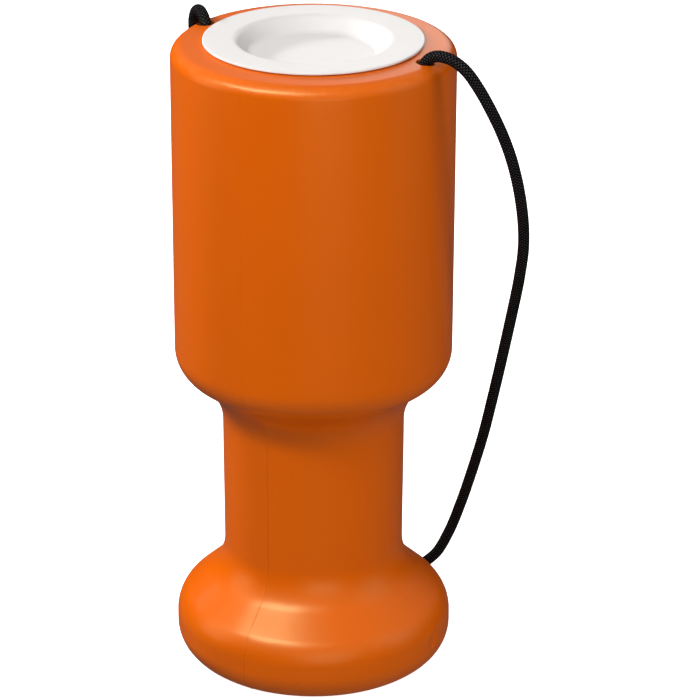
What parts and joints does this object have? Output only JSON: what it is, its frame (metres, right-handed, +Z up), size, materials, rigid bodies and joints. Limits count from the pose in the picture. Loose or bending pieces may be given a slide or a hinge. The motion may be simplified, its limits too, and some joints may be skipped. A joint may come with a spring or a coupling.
{
  "type": "hand-held collecting container",
  "caption": "Hollow hand-held container with a wide head, a narrow grip and a round foot, a push-in lid with a dished middle, and a carrying cord.",
  "frame": {"origin": "centre of the base, on the surface that the container stands on", "axes": "+Z up along the container's axis, +X through one cord hole and -X through the other, the mould parting lines at +Y and -Y"},
  "size_m": [0.1329, 0.1187, 0.2399],
  "materials": {
    "body_plastic": "satin moulded, fine grain",
    "lid_plastic": "satin moulded",
    "cord_braid": "braided"
  },
  "bodies": {
    "container": {"body": "body_plastic", "cord": "cord_braid", "knot_right": "cord_braid", "knot_left": "cord_braid"},
    "lid": {"lid": "lid_plastic"}
  },
  "joints": [
    {"name": "lid_lift", "type": "slide", "parent": "container", "child": "lid", "axis": [0, 0, 1], "range_m": [0, 0.03]}
  ]
}
